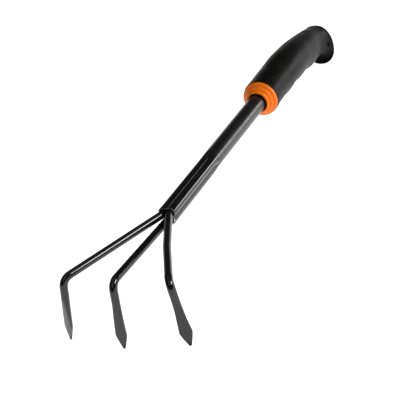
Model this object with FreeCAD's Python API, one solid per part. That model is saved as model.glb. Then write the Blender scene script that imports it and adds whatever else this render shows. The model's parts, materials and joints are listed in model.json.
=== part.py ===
# Three-tine hand cultivator: a steel tube swaged onto three bent rods,
# with a moulded pistol grip and a stepped trim collar on its rear end.
#
# Design frame: X runs along the tube from its mouth (x = 0) to the butt,
# Y is across the tool, Z is up.  At the end every piece is tipped and moved
# so that the three tine points and the pommel stand on z = 0.
# All sizes are in millimetres.
import FreeCAD, Part
import math
import os

os.makedirs("parts", exist_ok=True)
Vec = FreeCAD.Vector

# ---------------------------------------------------------------- rods
ROD_D = 5.0                 # round steel rod
ROD_GAP = 0.04              # between two rods packed in the tube
ROD_FIT = 0.04              # rod to tube lobe, each side
ROD_SOCKET = 54.0           # length of rod held inside the tube
ROOT_RADIUS = 10.0          # bend where a side rod leaves the tube mouth
ROOT_CLEAR = 0.2            # straight rod between the mouth and that bend
BEND_RADIUS = 6.5           # bend from the arm down to the point
BOW_RADIUS = 90.0           # slow curve of the right arm, which isn't quite straight

# ---------------------------------------------------------------- tines
SIDE_REACH = 69.9           # mouth to the corner of a side tine, along X
SIDE_SPREAD = 35.9          # corner of a side tine, off the centre line
CENTER_REACH = 72.5         # mouth to the corner of the centre tine
ARM_RISE = 0.5              # corners above the tube's axis
SIDE_LEAN = 7.2             # how far a side point stands ahead of its corner
SIDE_FLARE = 5.1            # how far a side point stands outside its corner
CENTER_LEAN = 10.0          # how far the centre point stands ahead
TINE_DROP = 38.2            # centre point below the tube's axis
RIGHT_BOW = 1.0             # how far the right arm's middle stands inside a straight line

BLADE_LENGTH = 27.5         # flattened end of a tine, point included
BLADE_POINT = 8.8           # tapered point alone
BLADE_WIDTH = 7.8           # at the shoulder of the point
BLADE_FLAT = 0.9            # edges of the flat face ahead of the rod's axis, at the shoulder
BLADE_CROWN = 0.15          # of the flat face
BLADE_BACK = 2.1            # depth of the rounded back behind the axis, at the shoulder
FLAT_START = 2.3            # edges of the flat face ahead of the axis, where it begins
POINT_WIDTH = 1.3           # at the very end
POINT_FLAT = 0.25           # at the very end
POINT_BACK = 0.45           # at the very end
POINT_CROWN = 0.4           # share of the face's crown left at the very end
# powers of the run along the blade: below 1 changes early, above 1 late
WIDTH_POWER = 0.7
FLAT_POWER = 0.8
POINT_POWER = 1.25

# ---------------------------------------------------------------- shaft tube
TUBE_WALL = 0.9
TUBE_SHOWN = 150.0          # mouth to the front of the collar
TUBE_HELD = 90.0            # front of the collar to the tube's rear end
CRIMP_LENGTH = 60.0         # swaged length at full depth
CRIMP_RUNOUT = 11.0         # from the full flutes back to the round tube
FLUTE_RADIUS = 0.45         # outside of each flute pressed between two rods
UPPER_SLACK = 0.03          # play between an upper rod and its lobe, as a radius
LOWER_SLACK = 0.75          # the lower lobe is swaged more loosely

# ---------------------------------------------------------------- root welds
WELD_RADIUS = 0.8           # half the thickness of the bead
WELD_STAND = 0.3            # share of that radius between the rod and the bead's middle
WELD_AHEAD = 0.35           # share of that radius between the tube's end and the bead's middle
# rod: (degrees of the rod that the bead covers, degrees its middle is turned from straight
# outwards: towards the top on the side rods, towards the left on the centre one)
WELD_BEADS = {"left": (55.0, 45.0), "right": (115.0, 0.0), "center": (60.0, 40.0)}

# ---------------------------------------------------------------- tube plug
PLUG_LENGTH = 7.0
PLUG_HEAD = 1.5             # flange that closes the tube's end
PLUG_FIT = 0.05

# ---------------------------------------------------------------- collar
COLLAR_LENGTH = 7.4         # front lip to the grip
COLLAR_STEPS = 3            # rounded rings, each larger than the one before
COLLAR_BORE_GAP = 0.95      # open ring between the tube and the collar
COLLAR_LIP = 1.8            # radial width of the front ring
COLLAR_SHY = 0.4            # the largest ring stands this far inside the grip's edge
COLLAR_SPIGOT = 8.0         # sleeve that the grip is moulded over
COLLAR_SPIGOT_WALL = 1.6
RING_NOSE = 1.5             # rounding on each ring's front edge

# ---------------------------------------------------------------- grip
GRIP_LENGTH = 120.2         # behind the collar
GRIP_RADIUS = 13.45         # at the collar
SKIN = 2.4                  # outer moulding over the core
SKIN_FIT = 0.06             # outer moulding to core, each side
CORE_FIT = 0.05             # core to tube, each side
BUTT_RATIO = 0.79           # width over height at the butt
BUTT_SQUARE = 2.2           # 2 is an ellipse, larger is squarer
BUTT_EDGE = 0.6             # rounding of the butt's edge
FLATTER_FROM = 0.35         # share of the length where the sides start to draw in
GRIP_SECTIONS = 28          # cross-sections that the palm's form is drawn through
POMMEL_SECTIONS = 8         # cross-sections along the pommel's hollow
OUTLINE_POINTS = 28         # points that each cross-section is drawn through
LOBE_POINTS = 13            # points along each lobe of the swaged tube
FLUTE_POINTS = 4            # steps along each flute
FLARE_SECTIONS = 9          # cross-sections where a rod spreads to its blade
POINT_SECTIONS = 5          # cross-sections along its tapered point
RUNOUT_SECTIONS = 7         # cross-sections where the flutes run out

# top line of the grip: (share of the grip's length, height above the axis less radius)
TOP_LINE = [(0.0, 0.0), (0.2, 0.65), (0.4, 1.25), (0.6, -0.3), (0.8, -3.8), (1.0, -8.55)]
# bottom line, finger swells and pommel left out, the same way
BOTTOM_LINE = [(0.0, 0.0), (0.13, -1.0), (0.42, -1.05), (0.6, 0.35), (0.75, 2.6), (1.0, 3.6)]
FINGER_START = 19.0         # collar to the first valley
FINGER_PITCH = 25.3         # valley to valley
FINGER_COUNT = 3
FINGER_RISE = 0.85          # height of each swell
POMMEL_DEPTH = 11.8         # how far the pommel hooks down past the palm line
POMMEL_RADIUS = 17.0        # hollow that the little finger lies in
POMMEL_LIP = 1.1            # thickness of the pommel's lower edge

HANG_FROM_BUTT = 18.8       # middle of the hanging slot to the butt
HANG_LENGTH = 16.4
HANG_WIDTH = 9.2
HANG_LEAN = 18.0            # degrees that the slot leans with the grip's back
HANG_CUT = 80.0             # height of the cut, more than the grip and its pommel
SEAT_HOLE_D = 2.6           # dimple where the mould's pins held the core
SEAT_HOLE_FROM_BUTT = 5.2
SEAT_HOLE_DROP = 10.8       # below the tube's axis
SEAT_HOLE_DEPTH = 1.6       # into the core, below the skin

# ---------------------------------------------------------------- worked out
rod_r = ROD_D / 2.0
pack_r = (ROD_D + ROD_GAP) / math.sqrt(3.0)
tube_r = pack_r + rod_r + ROD_FIT + TUBE_WALL
bore_r = tube_r - TUBE_WALL
tube_end = TUBE_SHOWN + TUBE_HELD
grip_x0 = TUBE_SHOWN + COLLAR_LENGTH
grip_x1 = grip_x0 + GRIP_LENGTH
collar_bore = tube_r + COLLAR_BORE_GAP
collar_r = GRIP_RADIUS - COLLAR_SHY
spigot_r = GRIP_RADIUS - SKIN
nose_r = spigot_r - COLLAR_SPIGOT_WALL
pommel_run = math.sqrt(POMMEL_RADIUS ** 2 - (POMMEL_RADIUS - POMMEL_DEPTH) ** 2)


# ================================================================ helpers
def smooth_step(u):
    u = min(1.0, max(0.0, u))
    return u * u * (3.0 - 2.0 * u)


def through(stations, u):
    """Smooth value at u on a line drawn through (u, value) stations."""
    last = len(stations) - 1
    k = 0
    while k < last - 1 and u > stations[k + 1][0]:
        k += 1
    slopes = []
    for i in (k, k + 1):
        a = stations[max(0, i - 1)]
        b = stations[min(last, i + 1)]
        slopes.append((b[1] - a[1]) / (b[0] - a[0]))
    (u0, v0), (u1, v1) = stations[k], stations[k + 1]
    span = u1 - u0
    t = (u - u0) / span
    return (v0 * (1 + 2 * t) * (1 - t) ** 2 + slopes[0] * span * t * (1 - t) ** 2
            + v1 * t * t * (3 - 2 * t) + slopes[1] * span * t * t * (t - 1))


def closed_curve(points):
    """One smooth closed edge through the points, as a wire."""
    steps = len(points)
    curve = Part.BSplineCurve()
    curve.interpolate(Points=points, PeriodicFlag=True,
                      Parameters=[i / float(steps) for i in range(steps + 1)])
    return Part.Wire([curve.toShape()])


def fuse_all(shapes):
    whole = shapes[0].multiFuse(shapes[1:]) if len(shapes) > 1 else shapes[0]
    return whole.removeSplitter()


def one_solid(shape):
    """The largest solid of a shape that booleans left in a compound."""
    return max(shape.Solids, key=lambda s: s.Volume)


# ================================================================ rod and tine
def rounded_path(points, radii):
    """Straight runs through the points, joined by tangent arcs."""
    edges = []
    start = points[0]
    for before, corner, after, radius in zip(points, points[1:], points[2:], radii):
        back = (before - corner).normalize()
        ahead = (after - corner).normalize()
        half = back.getAngle(ahead) / 2.0
        cut = radius / math.tan(half)
        a = corner + back * cut
        b = corner + ahead * cut
        inward = (back + ahead).normalize()
        middle = corner + inward * (radius / math.sin(half) - radius)
        edges.append(Part.LineSegment(start, a).toShape())
        edges.append(Part.Arc(a, middle, b).toShape())
        start = b
    edges.append(Part.LineSegment(start, points[-1]).toShape())
    return Part.Wire(edges)


def blade_section(centre, wide, front, width, flat, crown, back):
    """Closed outline of a flat face and a rounded back that meet at the blade's edges."""
    left = centre - wide * (width / 2.0) + front * flat
    right = centre + wide * (width / 2.0) + front * flat
    face = Part.Arc(left, centre + front * (flat + crown), right)
    spine = Part.Arc(right, centre - front * back, left)
    return Part.Wire([face.toShape(), spine.toShape()])


def blade(start, down, wide, front):
    """Forged end of a tine: a flat that opens on the rod's front and spreads to a spade."""
    flare = BLADE_LENGTH - BLADE_POINT
    start_width = 2.0 * math.sqrt(rod_r ** 2 - FLAT_START ** 2)
    spread = []
    for i in range(FLARE_SECTIONS):
        u = i / (FLARE_SECTIONS - 1.0)
        spread.append(blade_section(
            start + down * (flare * u), wide, front,
            start_width + (BLADE_WIDTH - start_width) * u ** WIDTH_POWER,
            FLAT_START + (BLADE_FLAT - FLAT_START) * u ** FLAT_POWER,
            (rod_r - FLAT_START) + (BLADE_CROWN - rod_r + FLAT_START) * u,
            rod_r + (BLADE_BACK - rod_r) * u))
    point = []
    for i in range(POINT_SECTIONS):
        u = i / (POINT_SECTIONS - 1.0)
        taper = 1.0 - u ** POINT_POWER
        point.append(blade_section(
            start + down * (flare + BLADE_POINT * u), wide, front,
            POINT_WIDTH + (BLADE_WIDTH - POINT_WIDTH) * taper,
            POINT_FLAT + (BLADE_FLAT - POINT_FLAT) * taper,
            BLADE_CROWN * (POINT_CROWN + (1.0 - POINT_CROWN) * taper),
            POINT_BACK + (BLADE_BACK - POINT_BACK) * taper))
    return [Part.makeLoft(spread, True, False), Part.makeLoft(point, True, False)]


def tine(seat, corner, tip, bow):
    """A rod from inside the tube, out along its arm and down to its point."""
    rear = Vec(ROD_SOCKET, seat.y, seat.z)
    turn = (corner - seat).getAngle(Vec(-1, 0, 0))
    root = Vec(-ROOT_RADIUS * math.tan(turn / 2.0) - ROOT_CLEAR, seat.y, seat.z)
    arm = (corner - root).normalize()
    down = (tip - corner).normalize()
    blade_start = tip - down * BLADE_LENGTH
    wide = arm.cross(down).normalize()
    points = [rear, root, corner, blade_start]
    radii = [ROOT_RADIUS, BEND_RADIUS]
    if bow > 0.0:
        # bowed towards the centre line, half way along the arm
        inward = Vec(arm.y, -arm.x, 0) * math.copysign(bow, seat.y * arm.x)
        points.insert(2, (root + corner) * 0.5 + inward)
        radii.insert(1, BOW_RADIUS)
    path = rounded_path(points, radii)
    ring = Part.Wire([Part.makeCircle(rod_r, rear, Vec(-1, 0, 0))])
    rod = path.makePipeShell([ring], True, False)
    front = wide.cross(down).normalize()
    if front.dot(arm) < 0.0:
        front = front * -1.0
    return fuse_all([rod] + blade(blade_start, down, wide, front))


# ================================================================ shaft tube
def polar(centre, radius, angle):
    """Point at a radius and an angle from up, in the tube's cross-section."""
    return centre + Vec(0, -radius * math.sin(angle), radius * math.cos(angle))


def bearing(vector):
    return math.atan2(-vector.y, vector.z)


def wrap(angle, about):
    """The same angle, within half a turn of another."""
    return angle - 2.0 * math.pi * round((angle - about) / (2.0 * math.pi))


def swaged_outline(inset):
    """Points round the swaged tube: three lobes over the rods, three flutes between."""
    axis = Vec(0, 0, 0)
    lobes = []
    for turn, slack in ((60.0, UPPER_SLACK), (180.0, LOWER_SLACK), (300.0, UPPER_SLACK)):
        centre = polar(axis, pack_r + slack, math.radians(turn))
        lobes.append((centre, rod_r + ROD_FIT + slack + TUBE_WALL - inset))
    press = FLUTE_RADIUS + inset
    flutes = []
    for i in range(3):
        (a, a_r), (b, b_r) = lobes[i], lobes[(i + 1) % 3]
        gap = (b - a).Length
        along = ((a_r + press) ** 2 - (b_r + press) ** 2 + gap * gap) / (2.0 * gap)
        foot = a + (b - a) * (along / gap)
        outward = Vec(0, (b - a).z, -(b - a).y).normalize()
        if outward.dot(foot) < 0:
            outward = outward * -1.0
        flutes.append(foot + outward * math.sqrt((a_r + press) ** 2 - along * along))
    points = []
    for i in range(3):
        centre, radius = lobes[i]
        out = bearing(centre)
        first = wrap(bearing(flutes[i - 1] - centre), out)
        last = wrap(bearing(flutes[i] - centre), out)
        for k in range(LOBE_POINTS):
            points.append(polar(centre, radius, first + (last - first) * k / (LOBE_POINTS - 1.0)))
        inward = bearing(flutes[i] * -1.0)
        first = wrap(bearing(centre - flutes[i]), inward)
        last = wrap(bearing(lobes[(i + 1) % 3][0] - flutes[i]), inward)
        for k in range(1, FLUTE_POINTS):
            points.append(polar(flutes[i], press, first + (last - first) * k / FLUTE_POINTS))
    return points


def tube_section(x, depth, inset):
    """Tube outline at x; depth 0 is round and 1 fully swaged."""
    points = []
    for p in swaged_outline(inset):
        round_point = polar(Vec(0, 0, 0), tube_r - inset, bearing(p))
        points.append(Vec(x, 0, 0) + round_point * (1.0 - depth) + p * depth)
    return closed_curve(points)


def tube_body(inset):
    """Solid inside one surface of the tube: inset 0 outside, the wall inside."""
    swaged = [tube_section(x, 1.0, inset) for x in (0.0, CRIMP_LENGTH)]
    runout = []
    for i in range(RUNOUT_SECTIONS):
        u = i / (RUNOUT_SECTIONS - 1.0)
        runout.append(tube_section(CRIMP_LENGTH + CRIMP_RUNOUT * u, 1.0 - smooth_step(u), inset))
    plain = [tube_section(x, 0.0, inset) for x in (CRIMP_LENGTH + CRIMP_RUNOUT, tube_end)]
    return fuse_all([Part.makeLoft(swaged, True, True), Part.makeLoft(runout, True, False),
                     Part.makeLoft(plain, True, True)])


def shaft_tube():
    return one_solid(tube_body(0.0).cut(tube_body(TUBE_WALL)))


# ================================================================ welds
def root_weld(seat, cover, towards_top, tube, rod):
    """Bead over the outer side of one rod, where it leaves the tube."""
    ring_r = rod_r + WELD_STAND * WELD_RADIUS
    half = math.radians(cover / 2.0)
    bead = Part.makeTorus(ring_r, WELD_RADIUS, Vec(0, 0, 0), Vec(0, 0, 1), 0, 360, cover)
    bead.rotate(Vec(0, 0, 0), Vec(0, 0, 1), -cover / 2.0)
    ends = [Part.makeSphere(WELD_RADIUS, Vec(ring_r * math.cos(half), s * ring_r * math.sin(half), 0))
            for s in (-1, 1)]
    bead = bead.multiFuse(ends)
    bead.rotate(Vec(0, 0, 0), Vec(0, 1, 0), -90)
    turn = math.degrees(math.atan2(seat.z, seat.y)) + math.copysign(towards_top, seat.y)
    bead.rotate(Vec(0, 0, 0), Vec(1, 0, 0), turn - 90)
    bead.translate(Vec(-WELD_AHEAD * WELD_RADIUS, seat.y, seat.z))
    return one_solid(bead.cut(rod).cut(tube))


# ================================================================ plug, collar
def tube_plug():
    stem = Part.makeCylinder(bore_r - PLUG_FIT, PLUG_LENGTH, Vec(tube_end - PLUG_LENGTH, 0, 0),
                             Vec(1, 0, 0))
    head = Part.makeCylinder(tube_r, PLUG_HEAD, Vec(tube_end, 0, 0), Vec(1, 0, 0))
    return fuse_all([stem, head])


def collar():
    """Stepped trim ring: rounded rings in front, a plain sleeve inside the grip."""
    step_x = COLLAR_LENGTH / COLLAR_STEPS
    lip_r = collar_bore + COLLAR_LIP
    step_r = (collar_r - lip_r) / (COLLAR_STEPS - 1)
    edges = []
    here = Vec(TUBE_SHOWN, 0, collar_bore)
    for i in range(COLLAR_STEPS):
        x = TUBE_SHOWN + step_x * i
        r = lip_r + step_r * i
        nose = Vec(x, 0, r - RING_NOSE)
        over = Vec(x + RING_NOSE, 0, r)
        bulge = RING_NOSE * (1.0 - math.sqrt(0.5))
        crest = Vec(x + bulge, 0, r - bulge)
        back = Vec(x + step_x, 0, r)
        edges.append(Part.LineSegment(here, nose).toShape())
        edges.append(Part.Arc(nose, crest, over).toShape())
        edges.append(Part.LineSegment(over, back).toShape())
        here = back
    sleeve_end = grip_x0 + COLLAR_SPIGOT
    rest = [(grip_x0, spigot_r), (sleeve_end, spigot_r), (sleeve_end, nose_r),
            (grip_x0, nose_r), (grip_x0, collar_bore), (TUBE_SHOWN, collar_bore)]
    for x, r in rest:
        there = Vec(x, 0, r)
        edges.append(Part.LineSegment(here, there).toShape())
        here = there
    face = Part.Face(Part.Wire(edges))
    return face.revolve(Vec(0, 0, 0), Vec(1, 0, 0), 360)


# ================================================================ grip
def grip_lines(x):
    """Top height, bottom height, half width and squareness of the grip at x."""
    u = (x - grip_x0) / GRIP_LENGTH
    top = GRIP_RADIUS + through(TOP_LINE, u)
    bottom = -GRIP_RADIUS - through(BOTTOM_LINE, u)
    into = x - (grip_x1 - POMMEL_LIP - pommel_run)
    if into > 0.0:
        into = min(into, pommel_run)
        bottom -= POMMEL_RADIUS - math.sqrt(POMMEL_RADIUS ** 2 - into ** 2)
    v = smooth_step((u - FLATTER_FROM) / (1.0 - FLATTER_FROM))
    width = (top - bottom) / 2.0 * (1.0 + (BUTT_RATIO - 1.0) * v)
    finger = (x - grip_x0 - FINGER_START) / FINGER_PITCH
    if 0.0 < finger < FINGER_COUNT:
        bottom -= FINGER_RISE * (1.0 - math.cos(2.0 * math.pi * finger)) / 2.0
    return top, bottom, width, 2.0 + (BUTT_SQUARE - 2.0) * v


def grip_section(x, inset):
    top, bottom, width, square = grip_lines(x)
    half = (top - bottom) / 2.0
    middle = (top + bottom) / 2.0
    points = []
    for i in range(OUTLINE_POINTS):
        a = 2.0 * math.pi * i / OUTLINE_POINTS
        c, s = math.cos(a), math.sin(a)
        y = math.copysign(abs(c) ** (2.0 / square), c) * (width - inset)
        z = math.copysign(abs(s) ** (2.0 / square), s) * (half - inset)
        points.append(Vec(x, y, middle + z))
    return closed_curve(points)


def grip_form(x0, x1, inset):
    """Closed form of the grip from x0 to x1, every outline drawn in by inset."""
    lip_x = min(x1, grip_x1 - POMMEL_LIP)
    hollow_x = grip_x1 - POMMEL_LIP - pommel_run
    places = [x0 + (hollow_x - x0) * i / GRIP_SECTIONS for i in range(GRIP_SECTIONS)]
    # sections crowd in the pommel's hollow, where the form changes fastest
    for i in range(POMMEL_SECTIONS):
        u = i / (POMMEL_SECTIONS - 1.0)
        places.append(hollow_x + (lip_x - hollow_x) * math.sin(u * math.pi / 2.0))
    body = Part.makeLoft([grip_section(x, inset) for x in places], True, False)
    if x1 <= lip_x:
        return body
    lip = Part.makeLoft([grip_section(lip_x, inset), grip_section(x1, inset)], True, True)
    return fuse_all([body, lip])


def hang_slot():
    """Tall obround prism through the grip's back and the pommel."""
    x = grip_x1 - HANG_FROM_BUTT
    top, bottom, width, square = grip_lines(x)
    r = HANG_WIDTH / 2.0
    run = HANG_LENGTH / 2.0 - r
    box = Part.makeBox(2 * run, HANG_WIDTH, HANG_CUT, Vec(-run, -r, -HANG_CUT / 2.0))
    ends = [Part.makeCylinder(r, HANG_CUT, Vec(s * run, 0, -HANG_CUT / 2.0), Vec(0, 0, 1))
            for s in (-1, 1)]
    slot = fuse_all([box] + ends)
    slot.rotate(Vec(0, 0, 0), Vec(0, 1, 0), HANG_LEAN)
    slot.translate(Vec(x, 0, (top + bottom) / 2.0))
    return slot


def seat_holes(depth):
    """Small round dimples on both flanks, near the butt."""
    x = grip_x1 - SEAT_HOLE_FROM_BUTT
    width = grip_lines(x)[2]
    holes = []
    for side in (-1, 1):
        start = Vec(x, side * (width - depth), -SEAT_HOLE_DROP)
        holes.append(Part.makeCylinder(SEAT_HOLE_D / 2.0, width, start, Vec(0, side, 0)))
    return holes


def grip_core(slot):
    """Hard inner moulding: holds the tube and carries the skin."""
    inset = SKIN + SKIN_FIT
    nose_x = grip_x0 + CORE_FIT
    step_x = grip_x0 + COLLAR_SPIGOT + CORE_FIT
    body = grip_form(step_x, grip_x1 - SKIN - SKIN_FIT, inset)
    nose = Part.makeCylinder(nose_r - CORE_FIT, step_x - nose_x, Vec(nose_x, 0, 0), Vec(1, 0, 0))
    core = fuse_all([body, nose])
    bore = Part.makeCylinder(tube_r + CORE_FIT, tube_end + PLUG_HEAD + CORE_FIT - nose_x,
                             Vec(nose_x, 0, 0), Vec(1, 0, 0))
    core = core.cut(bore).cut(slot)
    for hole in seat_holes(SKIN + SEAT_HOLE_DEPTH):
        core = core.cut(hole)
    return one_solid(core)


def grip_skin(slot):
    """Outer moulding, with the finger swells, the pommel and the butt face."""
    outer = grip_form(grip_x0, grip_x1, 0.0)
    rim = [e for e in outer.Edges if min(v.X for v in e.Vertexes) > grip_x1 - 0.01]
    outer = outer.makeFillet(BUTT_EDGE, rim)
    step_x = grip_x0 + COLLAR_SPIGOT + CORE_FIT
    hollow = grip_form(step_x, grip_x1 - SKIN, SKIN)
    mouth = Part.makeCylinder(spigot_r + CORE_FIT, step_x - grip_x0, Vec(grip_x0, 0, 0),
                              Vec(1, 0, 0))
    skin = outer.cut(hollow).cut(mouth).cut(slot)
    for hole in seat_holes(SKIN + SEAT_HOLE_DEPTH):
        skin = skin.cut(hole)
    return one_solid(skin)


# ================================================================ assembly
seats = {"left": polar(Vec(0, 0, 0), pack_r, math.radians(-60.0)),
         "right": polar(Vec(0, 0, 0), pack_r, math.radians(60.0)),
         "center": Vec(0, 0, -pack_r)}
side_x = -SIDE_REACH - SIDE_LEAN
center_x = -CENTER_REACH - CENTER_LEAN
# the leaning tines touch down on the lower edge of their end faces
tip_drop = POINT_BACK * CENTER_LEAN / TINE_DROP
foot_x = grip_x1 - BUTT_EDGE
foot_slope = (grip_lines(foot_x)[1] + TINE_DROP + tip_drop) / (foot_x - center_x)


def floor_height(x):
    """Height of the resting plane, in the design frame, below a point at x."""
    return -TINE_DROP - tip_drop + foot_slope * (x - center_x)


def lay_down(shape):
    """Tip and shift a piece from the design frame onto the resting plane."""
    shape.rotate(Vec(0, 0, 0), Vec(0, 1, 0), math.degrees(math.atan(foot_slope)))
    return shape


def side_tine(name, side, bow):
    corner = Vec(-SIDE_REACH, side * SIDE_SPREAD, ARM_RISE)
    tip = Vec(side_x, side * (SIDE_SPREAD + SIDE_FLARE), floor_height(side_x) + tip_drop)
    return tine(seats[name], corner, tip, bow)


pieces = {}
pieces["shaft_tube"] = shaft_tube()
pieces["tine_left"] = side_tine("left", 1, 0.0)
pieces["tine_right"] = side_tine("right", -1, RIGHT_BOW)
pieces["tine_center"] = tine(seats["center"], Vec(-CENTER_REACH, 0, ARM_RISE),
                             Vec(center_x, 0, -TINE_DROP), 0.0)
for name, (cover, towards_top) in WELD_BEADS.items():
    pieces["weld_" + name] = root_weld(seats[name], cover, towards_top, pieces["shaft_tube"],
                                       pieces["tine_" + name])
pieces["tube_plug"] = tube_plug()
pieces["collar"] = collar()
slot_shape = hang_slot()
pieces["grip_core"] = grip_core(slot_shape)
pieces["grip_skin"] = grip_skin(slot_shape)

for shape in pieces.values():
    lay_down(shape)
whole = Part.makeCompound(list(pieces.values())).optimalBoundingBox(False, False)
shift = Vec(-(whole.XMin + whole.XMax) / 2.0, 0, -whole.ZMin)
for name, shape in pieces.items():
    shape.translate(shift)
    shape.exportStep(f"parts/{name}.step")
    print(f"{name:12s} valid {shape.isValid()}  solids {len(shape.Solids)}  "
          f"volume {shape.Volume:9.1f} mm3")


def where(x, z):
    """Place of a design-frame point on the centre plane, once laid down."""
    spot = lay_down(Part.Vertex(Vec(x, 0, z)))
    spot.translate(shift)
    return f"({spot.X:.3f}, 0, {spot.Z:.3f})"


hang_lines = grip_lines(grip_x1 - HANG_FROM_BUTT)
butt_lines = grip_lines(grip_x1)
print("tube mouth", where(0, 0), " hang slot",
      where(grip_x1 - HANG_FROM_BUTT, (hang_lines[0] + hang_lines[1]) / 2.0),
      " butt face", where(grip_x1, (butt_lines[0] + butt_lines[1]) / 2.0))
print(f"overall {whole.XLength:.1f} x {whole.YLength:.1f} x {whole.ZLength:.1f} mm, "
      f"tilt {math.degrees(math.atan(foot_slope)):.2f} degrees, tube {2 * tube_r:.2f} mm")
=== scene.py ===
# %% [markdown]
# # A hand cultivator
# A steel tube is swaged onto three bent rods. Each rod ends in a flat forged
# point. A black moulded grip with an orange trim collar covers the tube's rear.
# The engineering model gives every size and place, so it comes in first. Each
# part that needs a finer surface is then made again on top of it.

# %% Load the engineering model
import bmesh
import bpy
import json
import math
from mathutils import Matrix, Vector


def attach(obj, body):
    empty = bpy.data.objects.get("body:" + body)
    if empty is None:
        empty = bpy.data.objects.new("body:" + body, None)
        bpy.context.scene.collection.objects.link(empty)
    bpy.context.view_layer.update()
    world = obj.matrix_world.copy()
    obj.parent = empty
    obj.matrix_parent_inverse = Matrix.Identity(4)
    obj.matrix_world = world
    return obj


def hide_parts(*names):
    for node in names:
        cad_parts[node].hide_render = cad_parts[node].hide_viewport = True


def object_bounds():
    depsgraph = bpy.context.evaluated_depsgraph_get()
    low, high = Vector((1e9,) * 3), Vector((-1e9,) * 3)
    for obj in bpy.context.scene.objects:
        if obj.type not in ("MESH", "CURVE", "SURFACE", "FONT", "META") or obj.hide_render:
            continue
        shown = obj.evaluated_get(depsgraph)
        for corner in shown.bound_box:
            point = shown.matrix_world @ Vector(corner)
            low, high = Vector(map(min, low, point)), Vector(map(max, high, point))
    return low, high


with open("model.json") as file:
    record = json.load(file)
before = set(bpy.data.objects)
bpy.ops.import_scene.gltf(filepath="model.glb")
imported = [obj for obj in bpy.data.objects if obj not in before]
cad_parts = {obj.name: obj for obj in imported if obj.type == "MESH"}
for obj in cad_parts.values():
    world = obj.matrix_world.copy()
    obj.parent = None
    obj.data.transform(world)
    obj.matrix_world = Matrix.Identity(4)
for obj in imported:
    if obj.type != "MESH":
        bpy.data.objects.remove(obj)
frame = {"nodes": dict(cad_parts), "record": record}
cad_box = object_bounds()
record = frame["record"]
print("engineering parts:", sorted(frame["nodes"]))

# %% [markdown]
# ## The tool's own axes
# The shaft is tipped a little, because the tool rests on its points and its
# pommel. Parts are easier to draw along a straight shaft, in millimetres from
# the tube's mouth. One matrix then lays each drawn point down in its place.

# %% Lines of the grip, and the matrix that lays the tool down
MM = 0.001
TUBE_SHOWN, TUBE_END = 150.0, 240.0
COLLAR_LENGTH, GRIP_LENGTH, GRIP_RADIUS = 7.4, 120.2, 13.45
GRIP_FRONT = TUBE_SHOWN + COLLAR_LENGTH
BUTT = GRIP_FRONT + GRIP_LENGTH
PALM_TOP = [(0.0, 0.0), (0.2, 0.65), (0.4, 1.25), (0.6, -0.3), (0.8, -3.8), (1.0, -8.55)]
PALM_BOTTOM = [(0.0, 0.0), (0.13, -1.0), (0.42, -1.05), (0.6, 0.35), (0.75, 2.6), (1.0, 3.6)]
FINGER_START, FINGER_PITCH, FINGERS, FINGER_RISE = 19.0, 25.3, 3, 0.85
POMMEL_DEPTH, POMMEL_RADIUS, POMMEL_LIP = 11.8, 17.0, 1.1
POMMEL_RUN = math.sqrt(POMMEL_RADIUS ** 2 - (POMMEL_RADIUS - POMMEL_DEPTH) ** 2)
BUTT_NARROW, BUTT_SQUARE = 0.79, 2.2


def ease(u):
    u = min(1.0, max(0.0, u))
    return u * u * (3.0 - 2.0 * u)


def through(stations, u):
    last = len(stations) - 1
    k = max(i for i in range(last) if i == 0 or u > stations[i][0])
    slopes = []
    for i in (k, k + 1):
        a, b = stations[max(0, i - 1)], stations[min(last, i + 1)]
        slopes.append((b[1] - a[1]) / (b[0] - a[0]))
    (u0, v0), (u1, v1) = stations[k], stations[k + 1]
    span, t = u1 - u0, (u - u0) / (u1 - u0)
    return (v0 * (1 + 2 * t) * (1 - t) ** 2 + slopes[0] * span * t * (1 - t) ** 2
            + v1 * t * t * (3 - 2 * t) + slopes[1] * span * t * t * (t - 1))


def grip_lines(x):
    """Top, bottom, half width and squareness of the grip at x."""
    u = (x - GRIP_FRONT) / GRIP_LENGTH
    top = GRIP_RADIUS + through(PALM_TOP, u)
    bottom = -GRIP_RADIUS - through(PALM_BOTTOM, u)
    into = min(x - (BUTT - POMMEL_LIP - POMMEL_RUN), POMMEL_RUN)
    if into > 0.0:
        bottom -= POMMEL_RADIUS - math.sqrt(POMMEL_RADIUS ** 2 - into ** 2)
    v = ease((u - 0.35) / 0.65)
    width = (top - bottom) / 2.0 * (1.0 + (BUTT_NARROW - 1.0) * v)
    finger = (x - GRIP_FRONT - FINGER_START) / FINGER_PITCH
    if 0.0 < finger < FINGERS:
        bottom -= FINGER_RISE * (1.0 - math.cos(2.0 * math.pi * finger)) / 2.0
    return top, bottom, width, 2.0 + (BUTT_SQUARE - 2.0) * v


mounts = {m["name"]: m for m in record["mounts"]}
butt_mount = mounts["butt_face"]
tilt = math.atan2(-butt_mount["axis"][2], butt_mount["axis"][0])
butt_top, butt_bottom = grip_lines(BUTT)[:2]
butt_middle = Vector((BUTT, 0.0, (butt_top + butt_bottom) / 2.0)) * MM
tip_over = Matrix.Rotation(tilt, 4, "Y")
lay_down = (Matrix.Translation(Vector(butt_mount["pos_m"]) - tip_over @ butt_middle)
            @ tip_over @ Matrix.Scale(MM, 4))
print("tube mouth at", lay_down @ Vector((0, 0, 0)), "tilt", round(math.degrees(tilt), 2))

# %% [markdown]
# ## Rings into skins
# Most of these parts are long and round: a tube, a collar, a grip. Each can be
# drawn as a row of rings with the same number of points, joined by quads. That
# gives clean strips of faces that shade smoothly, and any ring can be moved
# alone to make a flute or a swell. A lathe is the same thing with round rings.


# %% Helpers that build a part from rings
SHARP_ABOVE = math.radians(38.0)


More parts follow.
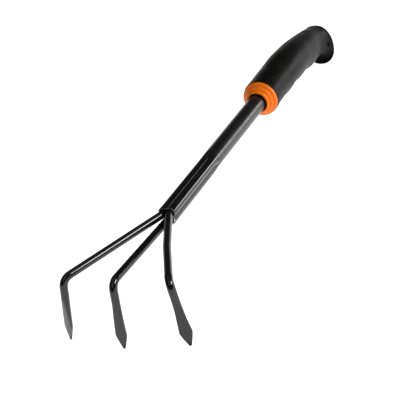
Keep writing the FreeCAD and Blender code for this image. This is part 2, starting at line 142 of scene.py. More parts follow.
def as_piece(name, bm, slot, *stands_for):
    """Object in the tool's place, riding with the model, from a mesh drawn in millimetres."""
    bmesh.ops.transform(bm, matrix=lay_down, verts=bm.verts)
    bmesh.ops.recalc_face_normals(bm, faces=bm.faces)
    mesh = bpy.data.meshes.new(name)
    bm.to_mesh(mesh)
    bm.free()
    piece = bpy.data.objects.new(name, mesh)
    bpy.context.scene.collection.objects.link(piece)
    mesh.shade_smooth()
    mesh.set_sharp_from_angle(angle=SHARP_ABOVE)
    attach(piece, "root")
    if stands_for:
        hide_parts(*stands_for)
    print(name, len(mesh.vertices), "points")
    return piece


def skin_rings(bm, rings, closed_row=False):
    """Quads between rings of points; with closed_row the last ring joins the first."""
    rows = [[bm.verts.new(p) for p in ring] for ring in rings]
    pairs = list(zip(rows, rows[1:])) + ([(rows[-1], rows[0])] if closed_row else [])
    for a, b in pairs:
        for i in range(len(a)):
            j = (i + 1) % len(a)
            bm.faces.new((a[i], a[j], b[j], b[i]))
    return rows


def fill_end(bm, row, shares=(0.85, 0.6, 0.3)):
    """Close a ring with smaller rings of quads and a small fan."""
    middle = sum((v.co for v in row), Vector()) / len(row)
    places = [v.co.copy() for v in row]
    for share in shares:
        inner = [bm.verts.new(middle.lerp(p, share)) for p in places]
        for i in range(len(row)):
            j = (i + 1) % len(row)
            bm.faces.new((row[i], row[j], inner[j], inner[i]))
        row = inner
    hub = bm.verts.new(middle)
    for i in range(len(row)):
        bm.faces.new((row[i], row[(i + 1) % len(row)], hub))


def round_ring(x, r, count):
    turns = [2.0 * math.pi * i / count for i in range(count)]
    return [Vector((x, -r * math.sin(a), r * math.cos(a))) for a in turns]


def rounded(corners, steps=6):
    """Profile of (x, r, radius) corners with each corner turned into a small arc."""
    line = []
    for i, (x, r, fillet) in enumerate(corners):
        p = Vector((x, r))
        before = Vector(corners[i - 1][:2]) - p
        after = Vector(corners[(i + 1) % len(corners)][:2]) - p
        if fillet <= 0.0:
            line.append((x, r))
            continue
        half = before.angle(after) / 2.0
        cut = fillet / math.tan(half)
        a, b = p + before.normalized() * cut, p + after.normalized() * cut
        middle = p + (before.normalized() + after.normalized()).normalized() * fillet / math.sin(half)
        for k in range(steps + 1):
            spot = a.lerp(b, k / steps) - middle
            line.append(tuple(middle + spot.normalized() * fillet))
    return line


# %% [markdown]
# ## Finishes
# The tube and the rods have one coat of gloss black paint. Real paint isn't a
# mirror: it has a faint orange peel and its gloss drifts from place to place.
# The grip is satin plastic with a fine grain, and the collar is a slightly
# translucent orange plastic. Painted pictures could give these looks too, but
# noise costs no file and stays sharp from close by. Noise on the roughness and a small bump give
# these, and the plain numbers are set on the shader itself. Creases and holes
# see little light, so their shine is turned down there as painted shade.


# %% A helper for finishes
def finish_of(name, color, roughness, **inputs):
    """Material with one Principled shader; returns it with its node tree and shader."""
    material = bpy.data.materials.new(name)
    material.use_nodes = True
    tree = material.node_tree
    shader = tree.nodes["Principled BSDF"]
    shader.inputs["Base Color"].default_value = (*color, 1.0)
    shader.inputs["Roughness"].default_value = roughness
    for key, value in inputs.items():
        shader.inputs[key.replace("_", " ")].default_value = value
    return material, tree, shader


def noise(tree, scale, detail=2.0, rough=0.5):
    """Noise fixed to the object; scale is features per metre."""
    place = tree.nodes.new("ShaderNodeTexCoord")
    grain = tree.nodes.new("ShaderNodeTexNoise")
    grain.inputs["Scale"].default_value = scale
    grain.inputs["Detail"].default_value = detail
    grain.inputs["Roughness"].default_value = rough
    tree.links.new(place.outputs["Object"], grain.inputs["Vector"])
    return grain.outputs["Fac"]


def spread(tree, value, low, high):
    """The same pattern, mapped to run from low to high."""
    ranged = tree.nodes.new("ShaderNodeMapRange")
    ranged.inputs["From Min"].default_value = 0.3
    ranged.inputs["From Max"].default_value = 0.7
    ranged.inputs["To Min"].default_value = low
    ranged.inputs["To Max"].default_value = high
    tree.links.new(value, ranged.inputs["Value"])
    return ranged.outputs["Result"]


def two_tone(tree, value, dark, light):
    """Colour that drifts between two tones with a pattern."""
    ramp = tree.nodes.new("ShaderNodeValToRGB")
    ramp.color_ramp.elements[0].position = 0.35
    ramp.color_ramp.elements[1].position = 0.65
    ramp.color_ramp.elements[0].color = (*dark, 1.0)
    ramp.color_ramp.elements[1].color = (*light, 1.0)
    tree.links.new(value, ramp.inputs["Fac"])
    return ramp.outputs["Color"]


def emboss(tree, shader, height, depth):
    """Bump of a given depth in metres, on top of any bump already there."""
    bump = tree.nodes.new("ShaderNodeBump")
    bump.inputs["Strength"].default_value = 1.0
    bump.inputs["Distance"].default_value = depth
    tree.links.new(height, bump.inputs["Height"])
    if shader.inputs["Normal"].is_linked:
        tree.links.new(shader.inputs["Normal"].links[0].from_socket, bump.inputs["Normal"])
    tree.links.new(bump.outputs["Normal"], shader.inputs["Normal"])


def paint_crease_shade(tree, shader, reach, shut, clear, shine):
    """Painted shade: less shine where the surface lies in a crease or a hole, within a reach in metres.
    """
    shader.inputs["Specular IOR Level"].default_value = shine
    crease = tree.nodes.new("ShaderNodeAmbientOcclusion")
    crease.inputs["Distance"].default_value = reach
    painted_shade = tree.nodes.new("ShaderNodeMapRange")
    for key, value in (("From Min", shut), ("From Max", clear), ("To Min", 0.0), ("To Max", shine)):
        painted_shade.inputs[key].default_value = value
    tree.links.new(crease.outputs["AO"], painted_shade.inputs["Value"])
    tree.links.new(painted_shade.outputs["Result"], shader.inputs["Specular IOR Level"])


# %% [markdown]
# ## Gloss black paint
# The paint on the steel is nearly black and nearly smooth. What is seen of it
# is mostly reflection, so its roughness matters more than its colour.

# %% Gloss black paint
def black_paint(name, low, high):
    """Gloss black paint whose roughness drifts between two levels."""
    material, tree, shader = finish_of(name, (0.003, 0.003, 0.003), low, IOR=1.52)
    tree.links.new(two_tone(tree, noise(tree, 60.0), (0.002, 0.002, 0.002), (0.005, 0.005, 0.0045)),
                   shader.inputs["Base Color"])
    tree.links.new(spread(tree, noise(tree, 140.0, 4.0), low, high), shader.inputs["Roughness"])
    emboss(tree, shader, noise(tree, 700.0), 0.000006)
    # Painted shade: the paint's shine is turned down in its creases and flutes by ambient occlusion.
    paint_crease_shade(tree, shader, 0.006, 0.62, 0.86, 0.5)
    return material


paint = black_paint("gloss_black_paint", 0.035, 0.075)
print("paint ready")

# %% [markdown]
# The press polishes the paint over the swaged length, and the plain tube behind
# it stays duller. The roughness of the tube's paint therefore follows the
# distance from its mouth.

# %% Paint of the tube, polished where it was pressed
DULL_FROM, DULL_TO, DULLER = 0.058, 0.070, 0.25
tube_paint = black_paint("tube_black_paint", 0.05, 0.10)
tree = tube_paint.node_tree
shader = tree.nodes["Principled BSDF"]
place = tree.nodes.new("ShaderNodeTexCoord")
split = tree.nodes.new("ShaderNodeSeparateXYZ")
away = tree.nodes.new("ShaderNodeMapRange")
mouth_x = (lay_down @ Vector((0.0, 0.0, 0.0))).x
for key, value in (("From Min", mouth_x + DULL_FROM), ("From Max", mouth_x + DULL_TO),
                   ("To Min", 0.0), ("To Max", DULLER)):
    away.inputs[key].default_value = value
total = tree.nodes.new("ShaderNodeMath")
tree.links.new(place.outputs["Object"], split.inputs[0])
tree.links.new(split.outputs["X"], away.inputs["Value"])
tree.links.new(shader.inputs["Roughness"].links[0].from_socket, total.inputs[0])
tree.links.new(away.outputs["Result"], total.inputs[1])
tree.links.new(total.outputs[0], shader.inputs["Roughness"])
print("tube paint ready")

# %% [markdown]
# ## Worn rim
# Paint chips first from a sharp edge. The flat rim at the tube's mouth shows
# bare steel between rests of paint, so its colour runs from dark to bright.

# %% Worn steel of the tube's rim
worn_steel, tree, shader = finish_of("worn_rim_steel", (0.55, 0.54, 0.52), 0.3, Metallic=1.0)
tree.links.new(two_tone(tree, noise(tree, 900.0, 3.0), (0.18, 0.18, 0.18), (0.72, 0.71, 0.69)),
               shader.inputs["Base Color"])
tree.links.new(spread(tree, noise(tree, 500.0, 4.0), 0.22, 0.42), shader.inputs["Roughness"])
emboss(tree, shader, noise(tree, 1500.0, 3.0), 0.00002)
print("worn steel ready")

# %% [markdown]
# ## Black plastics
# The grip's skin is a satin moulding. Two sizes of bump are laid over each
# other: a fine grain from the mould, and a slow waviness from shrinking. The
# core under it shows only inside the slot, so it is a plain dull black.

# %% Black grip plastic
grip_plastic, tree, shader = finish_of("black_grip_plastic", (0.003, 0.003, 0.003), 0.4, IOR=1.5)
tree.links.new(two_tone(tree, noise(tree, 45.0, 3.0), (0.0015, 0.0015, 0.0015), (0.004, 0.004, 0.0035)),
               shader.inputs["Base Color"])
tree.links.new(spread(tree, noise(tree, 90.0, 5.0), 0.36, 0.48), shader.inputs["Roughness"])
emboss(tree, shader, noise(tree, 1700.0, 3.0, 0.6), 0.00005)
emboss(tree, shader, noise(tree, 110.0, 1.0), 0.00012)
# Painted shade: the grip's shine is turned down in its creases and in the slot by ambient occlusion.
paint_crease_shade(tree, shader, 0.025, 0.35, 0.7, 0.085)
print("grip plastic ready")

# %% Black core plastic
core_plastic, tree, shader = finish_of(
    "black_core_plastic", (0.001, 0.001, 0.001), 0.5, IOR=1.5, Specular_IOR_Level=0.0)
tree.links.new(spread(tree, noise(tree, 120.0, 4.0), 0.42, 0.58), shader.inputs["Roughness"])
emboss(tree, shader, noise(tree, 900.0, 3.0), 0.00004)
print("core plastic ready")

# %% [markdown]
# ## Orange plastic
# Light goes a little way into orange plastic before it comes back, most of all
# the red part of it. A small share of subsurface scattering softens the steps
# between the collar's rings in the same way.

# %% Orange collar plastic
orange_plastic, tree, shader = finish_of(
    "orange_collar_plastic", (0.80, 0.155, 0.001), 0.32, IOR=1.5, Subsurface_Weight=0.1,
    Subsurface_Scale=0.001, Specular_IOR_Level=0.25)
shader.inputs["Subsurface Radius"].default_value = (1.0, 0.35, 0.08)
tree.links.new(two_tone(tree, noise(tree, 70.0, 3.0), (0.74, 0.15, 0.001), (0.82, 0.175, 0.001)),
               shader.inputs["Base Color"])
tree.links.new(spread(tree, noise(tree, 150.0, 4.0), 0.26, 0.38), shader.inputs["Roughness"])
emboss(tree, shader, noise(tree, 1300.0, 3.0), 0.00002)
print("orange plastic ready")

# %% [markdown]
# ## The rods and the hidden parts
# The rods, with their bends and forged points, have their true shape already,
# so they only take the paint. The core and the plug show a little or nothing,
# and keep their shape too.

# %% Paint the parts that keep their shape
finishes = {"tine_left": paint, "tine_right": paint, "tine_center": paint,
            "tube_plug": core_plastic, "grip_core": core_plastic}
for node, material in finishes.items():
    mesh = frame["nodes"][node].data
    mesh.materials.clear()
    mesh.materials.append(material)
    print(node, "takes", material.name)

# %% [markdown]
# ## The swaged tube
# A press squeezes the round tube onto the rods. Three lobes follow the rods,
# and three narrow flutes are pushed in between them. The lower lobe is left
# looser. The outline is arcs of circles that touch each other, so each flute
# meets its lobes without a corner. Over a short run-out it eases back to round.

# %% Outline of the swaged tube
ROD, ROD_GAP, ROD_FIT, WALL = 5.0, 0.04, 0.04, 0.9
CRIMP, RUNOUT, FLUTE = 60.0, 11.0, 0.45
UPPER_SLACK, LOWER_SLACK = 0.03, 0.75
PACK = (ROD + ROD_GAP) / math.sqrt(3.0)
TUBE_R = PACK + ROD / 2.0 + ROD_FIT + WALL


def from_top(centre, radius, angle):
    return centre + Vector((0.0, -radius * math.sin(angle), radius * math.cos(angle)))


def bearing(v):
    return math.atan2(-v.y, v.z)


def near(angle, about):
    return angle - 2.0 * math.pi * round((angle - about) / (2.0 * math.pi))


def swaged_outline(inset, lobe_steps=34, flute_steps=12):
    """Points round the swaged tube, drawn in by inset."""
    lobes, flutes, points = [], [], []
    for turn, slack in ((60.0, UPPER_SLACK), (180.0, LOWER_SLACK), (300.0, UPPER_SLACK)):
        centre = from_top(Vector(), PACK + slack, math.radians(turn))
        lobes.append((centre, ROD / 2.0 + ROD_FIT + slack + WALL - inset))
    press = FLUTE + inset
    for i in range(3):
        (a, ra), (b, rb) = lobes[i], lobes[(i + 1) % 3]
        gap = (b - a).length
        along = ((ra + press) ** 2 - (rb + press) ** 2 + gap * gap) / (2.0 * gap)
        foot = a.lerp(b, along / gap)
        out = Vector((0.0, (b - a).z, -(b - a).y)).normalized()
        out *= math.copysign(1.0, out.dot(foot))
        flutes.append(foot + out * math.sqrt((ra + press) ** 2 - along * along))
    for i in range(3):
        centre, radius = lobes[i]
        ends = [near(bearing(f - centre), bearing(centre)) for f in (flutes[i - 1], flutes[i])]
        points += [from_top(centre, radius, ends[0] + (ends[1] - ends[0]) * k / lobe_steps)
                   for k in range(lobe_steps + 1)]
        ends = [near(bearing(lobes[j][0] - flutes[i]), bearing(-flutes[i]))
                for j in (i, (i + 1) % 3)]
        points += [from_top(flutes[i], press, ends[0] + (ends[1] - ends[0]) * k / flute_steps)
                   for k in range(1, flute_steps)]
    return points


def tube_ring(x, depth, inset):
    ring = []
    for p in swaged_outline(inset):
        plain = from_top(Vector(), TUBE_R - inset, bearing(p))
        ring.append(Vector((x, 0, 0)) + plain.lerp(p, depth))
    return ring


# %% [markdown]
# ## The tube from its rings
# The rings go back along the outside, turn in at the rear end, and come
# forward again along the inside, so that the tube has a real wall. Its edge is
# rounded at the mouth. A solid tube with a hole cut in it would do as well, but
# the flutes' inner side would then have to be made twice.

# %% Build the tube, with a wall and rounded mouth
EDGE = 0.22
rings = []
for k in range(5):
    turn = math.pi / 2.0 * k / 4.0
    rings.append(tube_ring(EDGE * (1.0 - math.sin(turn)), 1.0, EDGE * (1.0 - math.cos(turn))))
rings.reverse()
rings += [tube_ring(CRIMP * k / 12.0, 1.0, 0.0) for k in range(1, 12)]
rings += [tube_ring(CRIMP + RUNOUT * k / 28.0, 1.0 - ease(k / 28.0), 0.0) for k in range(29)]
rings += [tube_ring(CRIMP + RUNOUT + (TUBE_END - CRIMP - RUNOUT) * k / 14.0, 0.0, 0.0)
          for k in range(1, 15)]
rings += [tube_ring(TUBE_END, 0.0, WALL)]
rings += [tube_ring(CRIMP + RUNOUT, 0.0, WALL)]
rings += [tube_ring(CRIMP + RUNOUT * k / 10.0, 1.0 - ease(k / 10.0), WALL) for k in range(9, -1, -1)]
for k in range(3):
    turn = math.pi / 2.0 * k / 2.0
    rings.append(tube_ring(EDGE * (1.0 - math.sin(turn)), 1.0, WALL - EDGE * (1.0 - math.cos(turn))))
bm = bmesh.new()
skin_rings(bm, rings, closed_row=True)
tube = as_piece("swaged_tube", bm, "black_steel", "shaft_tube")
tube.data.materials.append(tube_paint)
tube.data.materials.append(worn_steel)
FACES_AHEAD = -0.6
shaft_way = (tip_over @ Vector((1.0, 0.0, 0.0))).normalized()
worn = [face for face in tube.data.polygons if face.normal.dot(shaft_way) < FACES_AHEAD
        and (face.center - lay_down @ Vector()).dot(shaft_way) < EDGE * MM]
for face in worn:
    face.material_index = 1
print("worn faces on the rim:", len(worn))

# %% [markdown]
# ## The weld beads
# A short bead holds each rod where it leaves the tube. A bead is laid in
# overlapping puddles, so it swells and narrows along its length, and its ends
# are rounded. It can be swept: a small ring follows an arc round the rod.

# %% Lay the three beads
BEAD, BEAD_STAND, BEAD_AHEAD, BEAD_WAVE = 0.8, 0.3, 0.35, 0.14
PUDDLE_DEGREES, ALONG_STEPS, ROUND_STEPS = 34.0, 44, 20
# degrees of the rod's seat from the top, degrees covered, degrees turned towards the top
rod_seats = {"left": (-60.0, 55.0, 45.0), "right": (60.0, 115.0, 0.0),
             "center": (180.0, 60.0, -40.0)}
for side, (turn, cover, lift) in rod_seats.items():
    seat = from_top(Vector(), PACK, math.radians(turn))
    facing = math.radians(turn - (lift if turn > 0.0 else -lift))
    arc_r = ROD / 2.0 + BEAD_STAND * BEAD
    half = math.radians(cover / 2.0) + BEAD / arc_r
    puddles = max(2, round(cover / PUDDLE_DEGREES))
    rings = []
    for k in range(ALONG_STEPS + 1):
        along = -1.0 + 2.0 * k / ALONG_STEPS
        end = math.sqrt(max(0.0, 1.0 - abs(along) ** 7))
        wave = 1.0 - BEAD_WAVE + BEAD_WAVE * math.cos(2.0 * math.pi * puddles * along)
        thick = BEAD * (0.04 + 0.96 * end) * wave
        angle = facing + half * along
        centre = from_top(seat, arc_r, angle) + Vector((-BEAD_AHEAD * BEAD, 0.0, 0.0))
        away = from_top(Vector(), 1.0, angle)
        rings.append([centre + away * (thick * math.cos(t)) + Vector((thick * math.sin(t), 0, 0))
                      for t in (2.0 * math.pi * i / ROUND_STEPS for i in range(ROUND_STEPS))])
    bm = bmesh.new()
    rows = skin_rings(bm, rings)
    fill_end(bm, rows[0], (0.5,))
    fill_end(bm, rows[-1], (0.5,))
    bead = as_piece("bead_" + side, bm, "black_steel", "weld_" + side)
    bead.data.materials.append(paint)

# %% [markdown]
# ## The orange collar
# The collar is turned in three rounded rings, each larger than the last, like
# a stepped trim ring. It stands clear of the tube, and a sleeve behind it sits
# inside the grip. It is a lathe shape: one profile, turned about the shaft.

# %% Turn the collar
OPEN_RING, LIP_WIDTH, COLLAR_SHY, SHELL = 0.95, 1.8, 0.4, 2.4
SLEEVE, SLEEVE_WALL, SLEEVE_FIT = 8.0, 1.6, 0.05
MOUTH_ROUND, LIP_ROUND, RING_ROUND = 0.35, 1.1, 1.35
GROOVE, GROOVE_ROUND, BACK_ROUND, SLEEVE_ROUND = 0.12, 0.22, 0.3, 0.2
collar_in = TUBE_R + OPEN_RING
lip_r, largest_r = collar_in + LIP_WIDTH, GRIP_RADIUS - COLLAR_SHY
step = COLLAR_LENGTH / 3.0
sleeve_r = GRIP_RADIUS - SHELL
corners = [(TUBE_SHOWN, collar_in, MOUTH_ROUND)]
for i, r in enumerate((lip_r, (lip_r + largest_r) / 2.0, largest_r)):
    x = TUBE_SHOWN + step * i
    corners.append((x, r, RING_ROUND if i else LIP_ROUND))
    if r < largest_r:
        corners.append((x + step, r - GROOVE, GROOVE_ROUND))
corners += [(GRIP_FRONT, largest_r, BACK_ROUND), (GRIP_FRONT, sleeve_r, 0.0),
            (GRIP_FRONT + SLEEVE, sleeve_r, SLEEVE_ROUND),
            (GRIP_FRONT + SLEEVE, sleeve_r - SLEEVE_WALL, SLEEVE_ROUND),
            (GRIP_FRONT + SLEEVE_FIT, sleeve_r - SLEEVE_WALL, 0.0),
            (GRIP_FRONT + SLEEVE_FIT, collar_in, 0.0)]
AROUND_COLLAR = 128
bm = bmesh.new()
skin_rings(bm, [round_ring(x, r, AROUND_COLLAR) for x, r in rounded(corners)], closed_row=True)
collar = as_piece("stepped_collar", bm, "orange_plastic", "collar")
collar.data.materials.append(orange_plastic)

# %% [markdown]
# ## The grip
# The outer moulding is a shell over the hard core. Each cross-section is an
# oval that grows squarer towards the butt. Rings crowd where the pommel hooks
# down. The mould left a thin raised line along both flanks, so the points of
# every ring are packed closer there and one row of them is lifted a little.

# %% Cross-sections of the grip
AROUND, PACKING, DRIFT_MOST = 144, 0.62, 0.3
LINE_HEIGHT, LINE_END, LINE_FADE = 0.10, 250.0, 6.0
BUTT_EDGE, FRONT_EDGE = 0.6, 0.5


def grip_ring(x, inset, line_height=0.0):
    """Cross-section at x, drawn in by inset, with its first point on the mould line."""
    top, bottom, width, square = grip_lines(x)
    half, middle = (top - bottom) / 2.0, (top + bottom) / 2.0
    drift = math.asin(max(-DRIFT_MOST, min(DRIFT_MOST, -middle / half)))
    ring = []
    for i in range(AROUND):
        u = 2.0 * math.pi * i / AROUND
        a = u - PACKING * math.sin(2.0 * u) / 2.0
        a += drift * math.cos(a) * abs(math.cos(a))
        c, s = math.cos(a), math.sin(a)
        lift = line_height if i in (0, AROUND // 2) else 0.0
        y = math.copysign(abs(c) ** (2.0 / square), c) * (width - inset + lift)
        z = math.copysign(abs(s) ** (2.0 / square), s) * (half - inset)
        ring.append(Vector((x, y, middle + z)))
    return ring


def line_at(x):
    """Height of the mould line at x, faded out at both of its ends."""
    rear_fade = 1.0 - ease((x - LINE_END) / LINE_FADE)
    return LINE_HEIGHT * rear_fade * ease((x - GRIP_FRONT - FRONT_EDGE) / 2.0)


# %% [markdown]
# ## The shell from its rings
# The outside and the inside are two rows of rings joined at the front, with
# both rear ends filled in. The butt's edge and the front edge are rounded by
# rings that draw in along a quarter circle. A bevel would do the same, but the
# rings keep the faces even.

# %% Build the shell
PALM_RINGS, POMMEL_RINGS, INNER_SKIP = 96, 26, 3
hollow = BUTT - POMMEL_LIP - POMMEL_RUN
stations = [GRIP_FRONT + (hollow - GRIP_FRONT) * i / PALM_RINGS for i in range(1, PALM_RINGS + 1)]
stations += [hollow + POMMEL_RUN * math.sin(math.pi / 2.0 * k / POMMEL_RINGS)
             for k in range(1, POMMEL_RINGS + 1)]
front_edge = [(GRIP_FRONT + FRONT_EDGE * (1.0 - math.cos(t)), FRONT_EDGE * (1.0 - math.sin(t)))
              for t in (math.pi / 2.0 * k / 4.0 for k in range(5))]
butt_edge = [(BUTT - BUTT_EDGE * (1.0 - math.sin(t)), BUTT_EDGE * (1.0 - math.cos(t)))
             for t in (math.pi / 2.0 * k / 5.0 for k in range(6))]
outside = [grip_ring(x, inset) for x, inset in front_edge]
outside += [grip_ring(x, 0.0, line_at(x)) for x in stations if x > GRIP_FRONT + FRONT_EDGE + 0.1]
outside += [grip_ring(x, inset) for x, inset in butt_edge]
inner_front = GRIP_FRONT + SLEEVE + SLEEVE_FIT
inside = [[Vector((x, p.y, p.z)) for p in grip_ring(GRIP_FRONT, SHELL - SLEEVE_FIT)]
          for x in (GRIP_FRONT, inner_front)]
inside += [grip_ring(x, SHELL) for x in [inner_front + SLEEVE_FIT] + stations[8::INNER_SKIP]
           if inner_front < x < BUTT - SHELL]
inside += [grip_ring(BUTT - SHELL, SHELL)]
bm = bmesh.new()
rows_out = skin_rings(bm, outside)
rows_in = skin_rings(bm, inside)
for i in range(AROUND):
    j = (i + 1) % AROUND
    bm.faces.new((rows_out[0][i], rows_out[0][j], rows_in[0][j], rows_in[0][i]))
fill_end(bm, rows_out[-1], (0.97, 0.9, 0.7, 0.45, 0.2))
fill_end(bm, rows_in[-1])
grip = as_piece("grip_cover", bm, "grip_plastic", "grip_skin")
grip.data.materials.append(grip_plastic)

# %% [markdown]
# ## The hanging slot and the pin marks
# A slot goes right through the grip from its back, for a hook or a cord. Its
# edges are rounded where they meet the curved skin. A cutter that flares out
# along the skin gives that rounding in the cut itself: its height is found at
# each point by searching for the skin. Two small round marks on the flanks
# show where pins held the core in the mould.

# %% Find the skin along a line
SLOT_BACK, SLOT_LONG, SLOT_WIDE, SLOT_LEAN, SLOT_ROUND = 18.8, 16.4, 9.2, 18.0, 0.45
SEARCH_TO, HALVINGS = 40.0, 30
slot_top, slot_bottom = grip_lines(BUTT - SLOT_BACK)[:2]
slot_middle = Vector((BUTT - SLOT_BACK, 0.0, (slot_top + slot_bottom) / 2.0))
lean = math.radians(SLOT_LEAN)
slot_up = Vector((math.sin(lean), 0.0, math.cos(lean)))
slot_ahead = Vector((math.cos(lean), 0.0, -math.sin(lean)))


def outside_skin(p):
    top, bottom, width, square = grip_lines(p.x)
    high = abs((p.z - (top + bottom) / 2.0) / ((top - bottom) / 2.0))
    return high ** square + abs(p.y / width) ** square > 1.0


def skin_height(p, way):
    """Distance from p along the slot to the skin; way is 1 up or -1 down."""
    inner, outer = 0.0, SEARCH_TO
    for _ in range(HALVINGS):
        t = (inner + outer) / 2.0
        if outside_skin(p + slot_up * (t * way)):
            outer = t
        else:
            inner = t
    return inner * way


# %% [markdown]
# ## The cutters
# The slot's cutter follows the skin at both ends and flares out there by a
# quarter circle, which leaves a rounded edge. Each pin's cutter widens a little
# at its mouth too. They go into one mesh, so one boolean makes all the cuts.

# %% Build the flared cutter and the pin cutters
HALF_STEPS, FLARE_STEPS, SLOT_DEPTH = 28, 6, 3.5
PIN_BACK, PIN_DROP, PIN_R, PIN_STEPS = 5.2, 10.8, 1.3, 32
outline = []
run, slot_r = (SLOT_LONG - SLOT_WIDE) / 2.0, SLOT_WIDE / 2.0
for end in (1, -1):
    for k in range(HALF_STEPS + 1):
        a = math.pi * (k / HALF_STEPS - 0.5) + (math.pi if end < 0 else 0.0)
        outward = slot_ahead * math.cos(a) + Vector((0.0, math.sin(a), 0.0))
        outline.append((slot_middle + slot_ahead * (run * end), outward))


def slot_ring(offset, sink, way):
    """Ring of the cutter, offset outwards, and sunk below the skin."""
    ring = []
    for middle, outward in outline:
        p = middle + outward * (slot_r + offset)
        ring.append(p + slot_up * (skin_height(p, way) - sink * way))
    return ring


flare = [(SLOT_ROUND * (1.0 - math.cos(t)), SLOT_ROUND * (1.0 - math.sin(t)))
         for t in (math.radians(80.0) * k / FLARE_STEPS for k in range(FLARE_STEPS + 1))]
flare.append((SLOT_ROUND * 1.25, -SLOT_ROUND * 0.5))
rings = [slot_ring(offset, sink, -1) for offset, sink in reversed(flare)]
rings += [slot_ring(0.0, SLOT_DEPTH, -1), slot_ring(0.0, SLOT_DEPTH, 1)]
rings += [slot_ring(offset, sink, 1) for offset, sink in flare]
cutter = bmesh.new()
rows = skin_rings(cutter, rings)
fill_end(cutter, rows[0], (0.6,))
fill_end(cutter, rows[-1], (0.6,))
pin_x = BUTT - PIN_BACK
pin_face = grip_lines(pin_x)[2]
for side in (1, -1):
    rings = []
    for y, r in ((pin_face - SHELL - 0.5, PIN_R), (pin_face - 0.55, PIN_R),
                 (pin_face - 0.3, PIN_R + 0.05), (pin_face + 0.4, PIN_R + 0.45)):
        rings.append([Vector((pin_x + r * math.cos(t), side * y, r * math.sin(t) - PIN_DROP))
                      for t in (2.0 * math.pi * i / PIN_STEPS for i in range(PIN_STEPS))])
    rows = skin_rings(cutter, rings)
    fill_end(cutter, rows[0], (0.5,))
    fill_end(cutter, rows[-1], (0.5,))

# %% [markdown]
# ## The cut
# A boolean takes the cutters out of the shell once, and the result is kept as
# plain faces. The modifier and the cutter are then no longer needed.

# %% Cut the slot and the marks
bmesh.ops.transform(cutter, matrix=lay_down, verts=cutter.verts)
bmesh.ops.recalc_face_normals(cutter, faces=cutter.faces)
tool_mesh = bpy.data.meshes.new("slot_cutter")
cutter.to_mesh(tool_mesh)
cutter.free()
slot_cutter = bpy.data.objects.new("slot_cutter", tool_mesh)
bpy.context.scene.collection.objects.link(slot_cutter)
cut = grip.modifiers.new("slot", "BOOLEAN")
cut.operation, cut.solver, cut.object = "DIFFERENCE", "EXACT", slot_cutter
shapes = bpy.context.evaluated_depsgraph_get()
cut_mesh = bpy.data.meshes.new_from_object(grip.evaluated_get(shapes))
grip.modifiers.clear()
grip.data = cut_mesh
bpy.data.objects.remove(slot_cutter)
cut_mesh.shade_smooth()
cut_mesh.set_sharp_from_angle(angle=SHARP_ABOVE)
print("grip after cutting:", len(cut_mesh.vertices), "points")

# %% [markdown]
# ## Floor and light
# Gloss black shows hardly any colour of its own. It shows what stands around
# it. So the surroundings do the work: a pale floor for the low grey bands, a
# dim room for the dark core of the tube, and softboxes for the bright lines.
# The floor glows a little, like a light table, so shadows on it stay faint.

# %% Pale floor
FLOOR_HALF, FLOOR_PARTS, FLOOR_GAP, FLOOR_GLOW = 9.0, 24, 0.0002, 0.98
bm = bmesh.new()
bmesh.ops.create_grid(bm, x_segments=FLOOR_PARTS, y_segments=FLOOR_PARTS, size=FLOOR_HALF)
floor_mesh = bpy.data.meshes.new("floor")
bm.to_mesh(floor_mesh)
bm.free()
floor = bpy.data.objects.new("floor", floor_mesh)
bpy.context.scene.collection.objects.link(floor)
floor.location.z = cad_box[0].z - FLOOR_GAP
pale, tree, shader = finish_of("pale_floor", (0.9, 0.9, 0.9), 0.85, Emission_Strength=FLOOR_GLOW,
                               Specular_IOR_Level=0.1)
tree.links.new(two_tone(tree, noise(tree, 3.0), (0.89, 0.89, 0.89), (0.91, 0.91, 0.91)),
               shader.inputs["Base Color"])
shader.inputs["Emission Color"].default_value = (1.0, 1.0, 1.0, 1.0)
floor_mesh.materials.append(pale)

# %% [markdown]
# ## Room and lamps
# The room glows at the height of the horizon and is dim above it, so the flat
# faces of the points come out grey. The softbox on the right draws the white
# line along the left rod. A low one at the back draws the soft band along the
# tube. A faint wide sun lifts the grip and the collar.

# %% Room
HORIZON_TOP, DIM_FROM, DIM_TO = 0.08, 0.18, 0.70
room = bpy.data.worlds.new("room")
bpy.context.scene.world = room
room.use_nodes = True
tree = room.node_tree
sky = tree.nodes["Background"]
place = tree.nodes.new("ShaderNodeTexCoord")
split = tree.nodes.new("ShaderNodeSeparateXYZ")
height = tree.nodes.new("ShaderNodeValToRGB")
ramp = height.color_ramp
ramp.elements[0].position, ramp.elements[0].color = 0.0, (1.25, 1.25, 1.25, 1.0)
ramp.elements[1].position, ramp.elements[1].color = 1.0, (0.3, 0.3, 0.3, 1.0)
for position, level in ((HORIZON_TOP, 1.15), (DIM_FROM, 0.06), (DIM_TO, 0.05)):
    ramp.elements.new(position).color = (level, level, level, 1.0)
tree.links.new(place.outputs["Generated"], split.inputs[0])
tree.links.new(split.outputs["Z"], height.inputs["Fac"])
tree.links.new(height.outputs["Color"], sky.inputs["Color"])
print("room levels set")

# %% Sun and softboxes
target = lay_down @ Vector((CRIMP, 0.0, 0.0))


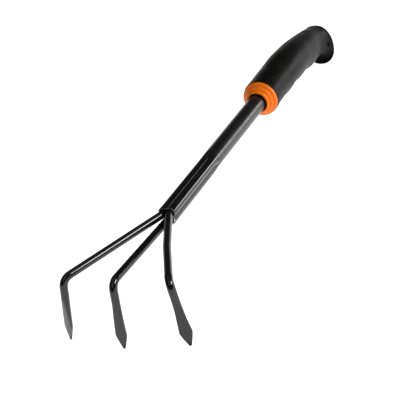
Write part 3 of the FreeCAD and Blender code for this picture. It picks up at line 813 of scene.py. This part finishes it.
def aim(lamp, direction, distance):
    """Put a lamp at a distance in a direction from the tool, facing it."""
    way = Vector(direction).normalized()
    lamp.location = target + way * distance
    lamp.rotation_mode = "QUATERNION"
    lamp.rotation_quaternion = way.to_track_quat("Z", "Y")
    bpy.context.scene.collection.objects.link(lamp)


def softbox(name, direction, distance, wide, tall, glow):
    """Rectangular light whose face glows at a given level."""
    data = bpy.data.lights.new(name, "AREA")
    data.shape, data.size, data.size_y = "RECTANGLE", wide, tall
    data.energy = glow * math.pi * wide * tall
    aim(bpy.data.objects.new(name, data), direction, distance)
    print(name, "power", round(data.energy, 1))


sun = bpy.data.lights.new("soft_sun", "SUN")
sun.energy, sun.angle = 0.2, math.radians(40.0)
aim(bpy.data.objects.new("soft_sun", sun), (-0.62, -0.1, 0.78), 3.0)
softbox("right_softbox", (0.05, -0.86, 0.55), 1.6, 0.6, 0.45, 22.0)
softbox("low_softbox", (0.75, -0.66, 0.07), 1.3, 0.6, 0.2, 9.0)

# %% [markdown]
# ## Camera
# The camera stands in front of the points, a little to their right, and looks
# down the tool towards the grip. A long lens keeps the shaft's edges nearly
# parallel. Its place and its three axes are given along the tool's own axes.

# %% Camera
look = {"right": (0.40580, -0.87245, -0.27231),
        "down": (-0.52500, 0.02137, -0.85084),
        "ahead": (0.74813, 0.48823, -0.44936)}
stands_at = (-477.67, -337.89, 296.52)
lens = bpy.data.cameras.new("camera")
lens.sensor_width, lens.lens = 36.0, 96.2
lens.shift_x, lens.shift_y = -0.00125, 0.00125
lens.clip_start, lens.clip_end = 0.02, 50.0
camera = bpy.data.objects.new("camera", lens)
bpy.context.scene.collection.objects.link(camera)
up, behind = ([-v for v in look[way]] for way in ("down", "ahead"))
turned = Matrix((look["right"], up, behind)).transposed()
camera.matrix_world = (Matrix.Translation(lay_down @ Vector(stands_at))
                       @ tip_over @ turned.to_4x4())
bpy.context.scene.camera = camera
bpy.context.scene.view_settings.view_transform = "Standard"
print("camera at", camera.matrix_world.translation)
